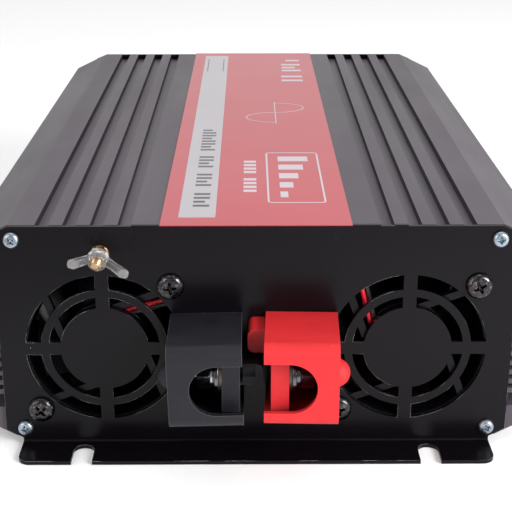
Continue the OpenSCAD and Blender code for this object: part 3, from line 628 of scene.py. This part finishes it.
def skin(shape, rings, around=True, caps=(False, False)):
    """Quads between successive rows of points, and a cap on the first or the last row."""
    rows = [[shape.verts.new(point) for point in ring] for ring in rings]
    count = len(rows[0])
    for low, high in zip(rows, rows[1:]):
        for i in range(count if around else count - 1):
            j = (i + 1) % count
            shape.faces.new((low[i], low[j], high[j], high[i]))
    if caps[0]:
        shape.faces.new(rows[0][::-1])
    if caps[1]:
        shape.faces.new(rows[-1])
    return rows


def circle(radius, height, sides, turn=0.0):
    """A level ring of points about +Z, the first one turned by turn radians."""
    steps = [turn + 2 * math.pi * i / sides for i in range(sides)]
    return [Vector((radius * math.cos(a), radius * math.sin(a), height)) for a in steps]


def placed(rings, place):
    """Rings written in millimetres in a local frame, moved to the part's frame in metres."""
    return [[(place @ Vector(point)) * MM for point in ring] for ring in rings]


def facing(centre, axis, spin=0.0):
    """The frame, in millimetres, whose +Z points along axis, turned about it by spin degrees."""
    turn = Vector(axis).to_track_quat("Z", "Y").to_matrix().to_4x4()
    return Matrix.Translation(centre) @ turn @ Matrix.Rotation(math.radians(spin), 4, "Z")


# ---- screws, bolts and nuts ----

def recess_depth(x, y, radius, reach, arm, star):
    """Depth of a cross recess at x, y, with four short arms between the long ones if star is set."""
    deepest = 0.0
    for turn in (0, 90, 45, 135) if star else (0, 90):
        a = math.radians(turn)
        along = abs(x * math.cos(a) + y * math.sin(a))
        across = abs(y * math.cos(a) - x * math.sin(a))
        long = reach if turn in (0, 90) else reach * 0.72
        wide = arm if turn in (0, 90) else arm * 0.6
        inside = min(wide * (1.25 - 0.5 * along / long) - across, long - along)
        wall = max(0.0, min(1.0, inside / (0.07 * radius)))
        deepest = max(deepest, wall * (1 - 0.45 * along / long))
    return deepest


def screw_head(shape, place, radius, height, reach=0.55, arm=0.12, star=False, pits=0.0, deep=0.62):
    """A domed head with a driver recess, as a fine round sheet down to its seat."""
    sides, steps = 96, 46
    rings = []
    for i in range(steps + 1):
        r = radius * (0.02 + 0.98 * math.sin(0.5 * math.pi * i / steps) ** 1.25)
        dome = height * (1 - 0.1 * (r / radius) ** 2 - 0.5 * (r / radius) ** 7)
        ring = []
        for point in circle(r, dome, sides):
            sunk = recess_depth(point.x, point.y, radius, reach * radius, arm * radius, star)
            point.z -= sunk * deep * height
            if pits:
                where = (place @ point) * 1.3
                point.z += pits * (noise.noise(where) + 0.5 * noise.noise(where * 2.7))
            ring.append(point)
        rings.append(ring)
    rings.append(circle(radius * 1.005, height * 0.3, sides))
    rings.append(circle(radius * 0.985, 0, sides))
    skin(shape, placed(rings[::-1], place), caps=(True, True))


def shank(shape, place, radius, length, pitch):
    """A threaded rod from the seat back along -Z."""
    thread(shape, place @ Matrix.Rotation(math.pi, 4, "X"), radius, length, pitch)


def thread(shape, place, radius, length, pitch, chamfer=0.4, sides=36):
    """A rod along +Z with a helical thread and a chamfered far end."""
    depth = 0.55 * pitch
    steps = max(4, int(length / pitch * 8))
    rings = []
    for i in range(steps + 1):
        z = length * i / steps
        limit = radius - max(0.0, z - (length - chamfer))
        ring = []
        for k, point in enumerate(circle(1, z, sides)):
            phase = (z / pitch - k / sides) % 1
            tooth = min(1.0, max(0.0, 2.4 * abs(2 * phase - 1) - 0.7))
            r = min(limit, radius - depth * (1 - tooth))
            ring.append(Vector((point.x * r, point.y * r, z)))
        rings.append(ring)
    skin(shape, placed(rings, place), caps=(True, True))


def make_screws(node, axis, head, shaft, pitch, spins=(), **look):
    """Every screw of a node whose heads face axis; head and shaft are (radius, length).

    spins are the angles that the driver recesses were left at, in degrees.
    """
    shape = bmesh.new()
    for index, (low, high) in enumerate(islands(node)):
        centre = (low + high) / 2
        side = [k for k in range(3) if abs(axis[k]) > 0.5][0]
        tip = high[side] if axis[side] > 0 else low[side]
        centre[side] = tip - axis[side] * head[1]
        spin = spins[index] if index < len(spins) else 23.0 * index
        place = facing(centre, axis, spin)
        screw_head(shape, place, head[0], head[1], **look)
        shank(shape, place, shaft[0], shaft[1], pitch)
    piece = object_from(f"{node}_turned", shape)
    smooth_by_angle(piece, 38)
    settle(piece, node)


def make_bolts():
    """Terminal bolts: hexagonal heads let into the bases, and threaded shanks."""
    shape = bmesh.new()
    for low, high in islands("terminal_bolts"):
        out = 1 if low.x > 0 else -1
        start, end = (low.x, high.x) if out > 0 else (high.x, low.x)
        place = facing((start, (low.y + high.y) / 2, (low.z + high.z) / 2), (out, 0, 0), 90)
        corner = (high.z - low.z) / 2
        head = [circle(corner, height, 6, math.pi / 2) for height in (0, 3.9)]
        skin(shape, placed(head, place), caps=(True, True))
        seat = 3.8
        rod = place @ Matrix.Translation((0, 0, seat))
        thread(shape, rod, 3, abs(end - start) - seat, 1.0, 0.7)
    piece = object_from("terminal_bolts_cut", shape)
    smooth_by_angle(piece, 30)
    settle(piece, "terminal_bolts")


def make_stud():
    """The brass earth stud, with its nut inside the plate."""
    low, high = islands("ground_stud")[0]
    x, z = (low.x + high.x) / 2, (low.z + high.z) / 2
    shape = bmesh.new()
    back = facing((x, high.y, z), (0, -1, 0), 30)
    nut = [circle(3.46, h, 6) for h in (0, 2.8)]
    skin(shape, placed(nut, back), caps=(True, True))
    rod = facing((x, high.y - 0.2, z), (0, -1, 0))
    thread(shape, rod, 1.75, high.y - low.y + 1.2, 0.6, 0.7, 48)
    piece = object_from("ground_stud_cut", shape)
    smooth_by_angle(piece, 30)
    settle(piece, "ground_stud")


# ---- fans ----

# the fans' middles lie FAN_X to each side and FAN_Z up, and their frames start at FAN_Y
FAN_X, FAN_Z, FAN_Y = 56.2, 40.4, FRONT + 1.5
BLADES = 7
BLADE_ROOT, BLADE_SPAN = 15.5, 12.05
# quads along a blade and across it
ALONG, ACROSS = 10, 16


def fan_frame(side, turn=0.0):
    """A fan's own frame, in millimetres: side is -1 for the left one, turn a quarter or none."""
    return Matrix.Translation((side * FAN_X, FAN_Y, FAN_Z)) @ Matrix.Rotation(math.radians(turn), 4, "Y")


def blade_face(turn, face):
    """Rows of points from the root to the tip of a blade's front (face 1) or back (face -1)."""
    rows = []
    for i in range(ALONG + 1):
        r = BLADE_ROOT + BLADE_SPAN * i / ALONG
        swing = math.radians(54 - 5 * i / ALONG)
        lean = math.radians(9) * (i / ALONG) ** 1.4
        row = []
        for j in range(ACROSS + 1):
            t = j / ACROSS
            thick = 0.75 * (1 - 0.65 * abs(2 * t - 1) ** 3)
            height = 5.2 + 16.4 * (t + 0.09 * math.sin(math.pi * t)) + face * thick
            angle = turn + lean + swing * (t - 0.5)
            height = min(22.3, max(4.65, height))
            row.append(Vector((r * math.cos(angle), r * math.sin(angle), height)))
        rows.append(row)
    return rows


def make_rotor(node, side, start):
    """Hub cup with broad, twisted blades, the first of them at start degrees."""
    shape = bmesh.new()
    place = fan_frame(side) @ Matrix.Rotation(-math.pi / 2, 4, "X")
    # the cup's section: radius and height
    hub = [(13.6, 6), (13.6, 21), (1.5, 21), (1.5, 22.5), (15.2, 22.5), (15.9, 22), (16, 21.4), (16, 5),
           (15.6, 4.6), (14, 4.5)]
    rings = [circle(r, h, 96) for r, h in hub]
    skin(shape, placed(rings + rings[:1], place))
    skin(shape, placed([circle(1.5, 4.6, 32), circle(1.5, 21.4, 32)], place), caps=(True, True))
    bmesh.ops.remove_doubles(shape, verts=shape.verts, dist=1e-7)
    for blade in range(BLADES):
        turn = math.radians(start + blade * 360 / BLADES)
        front = placed(blade_face(turn, 1), place)
        back = placed(blade_face(turn, -1), place)
        top = skin(shape, front, around=False)
        low = skin(shape, [row[::-1] for row in back], around=False)
        low = [row[::-1] for row in low]
        for i in range(ALONG):
            shape.faces.new((low[i][0], low[i + 1][0], top[i + 1][0], top[i][0]))
            shape.faces.new((low[i + 1][-1], low[i][-1], top[i][-1], top[i + 1][-1]))
        for j in range(ACROSS):
            shape.faces.new((low[-1][j], low[-1][j + 1], top[-1][j + 1], top[-1][j]))
            shape.faces.new((low[0][j + 1], low[0][j], top[0][j], top[0][j + 1]))
    bmesh.ops.recalc_face_normals(shape, faces=shape.faces)
    piece = object_from(f"{node}_moulded", shape)
    smooth_by_angle(piece, 45)
    settle(piece, node)


def smooth_path(points, steps):
    """The CAD's own rounding of a route: arcs between the middles of its stretches."""
    points = [Vector(p) for p in points]
    path = [points[0]]
    for before, corner, after in zip(points, points[1:], points[2:]):
        a, c = (before + corner) / 2, (corner + after) / 2
        for i in range(steps):
            t = i / steps
            path.append((1 - t) ** 2 * a + 2 * t * (1 - t) * corner + t * t * c)
    return path + [(points[-2] + points[-1]) / 2, points[-1]]


def tube(shape, path, radius, sides=20):
    """A round wire along a path in metres; radius is in millimetres."""
    side = Vector((0, 0.35, 1))
    rings = []
    for i, point in enumerate(path):
        ahead = (path[min(i + 1, len(path) - 1)] - path[max(i - 1, 0)]).normalized()
        side = (side - ahead * side.dot(ahead)).normalized()
        other = ahead.cross(side)
        steps = [2 * math.pi * k / sides for k in range(sides)]
        rings.append([point + radius * MM * (math.cos(a) * side + math.sin(a) * other) for a in steps])
    skin(shape, rings, caps=(True, True))


# the leads' routes in a fan's own frame, in millimetres: along a strut, then back to the board
STRUT_ROUTE = [(5, 3.45, 12), (9, 3.5, 14), (14, 3.8, 15.2), (19, 4.1, 16.5), (25, 4.5, 18),
               (31.6, 4.6, 18.8), (32.2, 14, 19)]
LEFT_TAIL = [(32, 30, 18), (31, 36, 6), (31, 37, -24.6)]
RIGHT_TAIL = [(30, 34, 18), (14, 42, 17), (-24.6, 42, 16)]
LEAD_RADIUS = 0.92


def make_leads(node, shift):
    """Both fans' leads of one colour, laid along a strut and back to the board."""
    shape = bmesh.new()
    for side, turn, tail, spread in ((-1, 0, LEFT_TAIL, "xz"), (1, -90, RIGHT_TAIL, "z")):
        route = [Vector(p) + Vector((0, 0, shift)) for p in STRUT_ROUTE]
        for i, p in enumerate(tail):
            drop = shift if spread == "z" or i == 0 else 0
            route.append(Vector(p) + Vector((shift if spread == "xz" else 0, 0, drop)))
        place = fan_frame(side, turn)
        tube(shape, [(place @ p) * MM for p in smooth_path(route, 10)], LEAD_RADIUS)
    piece = object_from(f"{node}_round", shape)
    smooth_by_angle(piece, 50)
    settle(piece, node)


# ---- wing nut ----

# the earth stud's middle in millimetres, and the degrees that the nut was left turned by
STUD_X, STUD_Z, WING_TURN = -56.2, 78.2, 11.5
# a wing from hub to end: how far across, how far ahead of the plate, half thickness, half width
WING = [(1.4, 5.9, 1.4, 1.6), (3.0, 7.0, 1.5, 1.65), (4.8, 9.0, 1.5, 1.6), (6.6, 11.3, 1.55, 1.65),
        (8.2, 13.5, 1.6, 1.7), (9.1, 14.9, 1.65, 1.75)]


def wing_rings(side):
    """Oval rings along one wing; side is -1 for the left one."""
    rings = []
    for i, (across, ahead, half_t, half_w) in enumerate(WING):
        last = WING[max(i - 1, 0)]
        following = WING[min(i + 1, len(WING) - 1)]
        run = Vector((following[0] - last[0], following[1] - last[1])).normalized()
        if i == len(WING) - 1:
            run = Vector((0.15, 1)).normalized()
        ring = []
        for k in range(32):
            a = 2 * math.pi * k / 32
            lift = half_t * math.copysign(abs(math.sin(a)) ** 0.65, math.sin(a))
            slide = half_w * math.copysign(abs(math.cos(a)) ** 0.65, math.cos(a))
            outward = side * (across + slide * run.y) + 0.07 * ahead
            ring.append(Vector((outward, -(ahead - slide * run.x), lift)))
        rings.append(ring if side > 0 else ring[::-1])
    return rings


def make_wing_nut():
    """A clear moulded nut: a short hub that runs into two swept wings with oval ends."""
    shape = bmesh.new()
    place = Matrix.Translation((STUD_X, FRONT, STUD_Z)) @ Matrix.Rotation(math.radians(WING_TURN), 4, "Y")
    out = place @ facing((0, 0, 0), (0, -1, 0))
    # the hub's outline: radius and distance from the plate
    hub = [(3.7, 4.0), (3.9, 4.4), (3.9, 6), (3.8, 7.4), (3.4, 8.8), (2.9, 9.5)]
    skin(shape, placed([circle(r, h, 48) for r, h in hub], out), caps=(True, True))
    for side in (-1, 1):
        skin(shape, placed(wing_rings(side), place), caps=(True, True))
    piece = object_from("wing_nut_moulded", shape)
    mesh = piece.modifiers.new("one", "REMESH")
    mesh.mode = "VOXEL"
    mesh.voxel_size = 0.14 * MM
    soft = piece.modifiers.new("soft", "SMOOTH")
    soft.iterations = 3
    applied(piece)
    bore = bmesh.new()
    skin(bore, placed([circle(1.82, h, 48) for h in (-1, 30)], out), caps=(True, True))
    cutter = object_from("bore", bore)
    cut = piece.modifiers.new("bore", "BOOLEAN")
    cut.object = cutter
    cut.operation = "DIFFERENCE"
    cut.solver = "EXACT"
    applied(piece)
    bpy.data.objects.remove(cutter)
    smooth_by_angle(piece, 40)
    settle(piece, "wing_nut")


# ---- label print ----

# the foil's face, how far the ink stands on it, and the thinner ink of the band and its ticks
PRINT_Z, INK, THIN_INK = 88.9, 0.05, 0.03


def strip(shape, points, width, base=PRINT_Z, height=INK):
    """A line of ink along points in millimetres: x across, y back from the plate's face."""
    points = [Vector((p[0], p[1])) for p in points]
    rows = []
    for i, point in enumerate(points):
        ahead = (points[min(i + 1, len(points) - 1)] - points[max(i - 1, 0)]).normalized()
        side = Vector((-ahead.y, ahead.x)) * width / 2
        left, right = point + side, point - side
        rows.append([Vector((q.x, q.y + FRONT, h)) * MM for q, h in
                     ((left, base), (left, base + height), (right, base + height), (right, base))])
    skin(shape, rows, caps=(True, True))


def patch(shape, x0, x1, y0, y1, base=PRINT_Z, height=INK):
    """A block of ink from x0, y0 to x1, y1."""
    strip(shape, [((x0 + x1) / 2, y0), ((x0 + x1) / 2, y1)], x1 - x0, base, height)


def print_piece(name, shape, slot):
    """The ink of one colour, as a piece that rides on the label."""
    bmesh.ops.recalc_face_normals(shape, faces=shape.faces)
    piece = object_from(name, shape)
    settle(piece, "label", replace=False, slot=slot)


def make_label_print():
    """Generic marks in place of the label's lettering, all of them ink-thin."""
    bright = bmesh.new()
    # a frame with round corners
    corners = []
    x0, x1, y0, y1, r = 4.9, 26.4, 25.5, 93.7, 1.6
    turns = ((x1 - r, y1 - r, 0), (x0 + r, y1 - r, 90), (x0 + r, y0 + r, 180), (x1 - r, y0 + r, 270))
    for cx, cy, start in turns:
        for step in range(0, 91, 15):
            a = math.radians(start + step)
            corners.append((cx + r * math.cos(a), cy + r * math.sin(a)))
    strip(bright, corners + corners[:2], 0.75)
    # level bars inside the frame
    for i in range(5):
        patch(bright, 9.6, 12.6 + 2.4 * i, 32 + 12.2 * i, 39 + 12.2 * i)
    # one period of a sine wave about its axis
    wave = []
    for lobe, middle in ((-1, 156.2), (1, 175.4)):
        for t in range(33):
            a = math.pi * t / 32
            wave.append((10.3 + lobe * 14.1 * math.sin(a), middle - 9.6 * math.cos(a)))
    strip(bright, wave, 0.45)
    strip(bright, [(10.3, 144.5), (10.3, 187.5)], 0.45)
    # ticks beside the frame, in two groups of four
    for i in range(9):
        if i != 4:
            patch(bright, -4.7, 0.4, 38.6 + 5.0 * i, 41.6 + 5.0 * i)
    # short bars near the far corner
    bars = ((236, 15.4, 27), (246, 15.4, 27), (262, 16.2, 27), (270, 16.2, 24), (278, 16.2, 27),
            (290, 19, 27))
    for y, start, end in bars:
        patch(bright, start, end, y, y + 4)
    print_piece("label_marks", bright, "print_white")
    band = bmesh.new()
    patch(band, -28.3, -14.8, 8.5, 306, height=THIN_INK)
    print_piece("label_band", band, "print_silver")
    # four groups of ticks on the band, and two thin lines at its far end
    ticks = bmesh.new()
    y = 20.8
    for group in (4, 4, 4, 8):
        for k in range(group):
            top = -17.4 if k % 3 != 1 else -19.2
            patch(ticks, -23.6, top, y, y + 2.3, PRINT_Z + THIN_INK, THIN_INK)
            y += 4.7
        y += 6.8
    for x in (-26.0, -17.2):
        strip(ticks, [(x, 262), (x, 297)], 0.5, PRINT_Z + THIN_INK, THIN_INK)
    print_piece("label_ticks", ticks, "print_grey")


def make_plain_nodes():
    """CAD nodes whose shape is right as it is: only their finish changes."""
    for node, mesh in NODES.items():
        if not mesh.hide_render:
            mesh.data.materials.clear()
            mesh.data.materials.append(finish(SLOT_OF[node]))


# edge radius in millimetres and bevel segments of the nodes that keep their CAD shape
ROUNDED = {
    "top_shell": (0.25, 2),
    "bottom_shell": (0.25, 2),
    "front_plate": (0.16, 2),
    "rear_plate": (0.16, 2),
    "fan_frame_left": (0.25, 1),
    "fan_frame_right": (0.25, 1),
    "terminal_cover_red": (0.45, 3),
    "terminal_cover_black": (0.45, 3),
    "terminal_base_red": (0.35, 2),
    "terminal_base_black": (0.35, 2),
    "busbar_positive": (0.15, 1),
    "busbar_negative": (0.15, 1),
    "terminal_washers": (0.2, 2),
    "spring_washers": (0.2, 2),
    "terminal_nut_red": (0.12, 1),
    "terminal_nut_black": (0.12, 1),
    "ground_washer": (0.12, 2),
    "ground_nut": (0.15, 2),
    "ac_outlet_left": (0.5, 3),
    "ac_outlet_right": (0.5, 3),
    "switch_housing": (0.3, 2),
    "switch_rocker": (0.4, 3),
    "breaker_body": (0.25, 2),
    "breaker_button": (0.5, 3),
    "usb_socket": (0.15, 2),
    "remote_socket": (0.25, 2),
}


def main():
    make_camera()
    make_light()
    make_floor()
    for node, (radius, segments) in ROUNDED.items():
        rounded(node, radius, segments)
    front, back = (0, -1, 0), (0, 1, 0)
    cross = {"reach": 0.5, "arm": 0.13}
    make_screws("front_corner_screws", front, (3, 2.1), (1.3, 13.9), 0.7, (12, 40, 25, 8), star=True, **cross)
    make_screws("rear_corner_screws", back, (3, 2.1), (1.3, 13.9), 0.7, star=True, **cross)
    make_screws("fan_screws", front, (4.9, 2.6), (2.1, 13), 0.9, (40, 5, 15, 25), pits=0.012, deep=0.8,
                **cross)
    make_screws("terminal_base_screws", front, (2.8, 1.8), (1.6, 8), 0.6)
    make_bolts()
    make_stud()
    make_rotor("fan_rotor_left", -1, 10)
    make_rotor("fan_rotor_right", 1, 33)
    make_leads("fan_leads_red", 0)
    make_leads("fan_leads_black", -1.9)
    make_wing_nut()
    make_label_print()
    make_plain_nodes()


main()
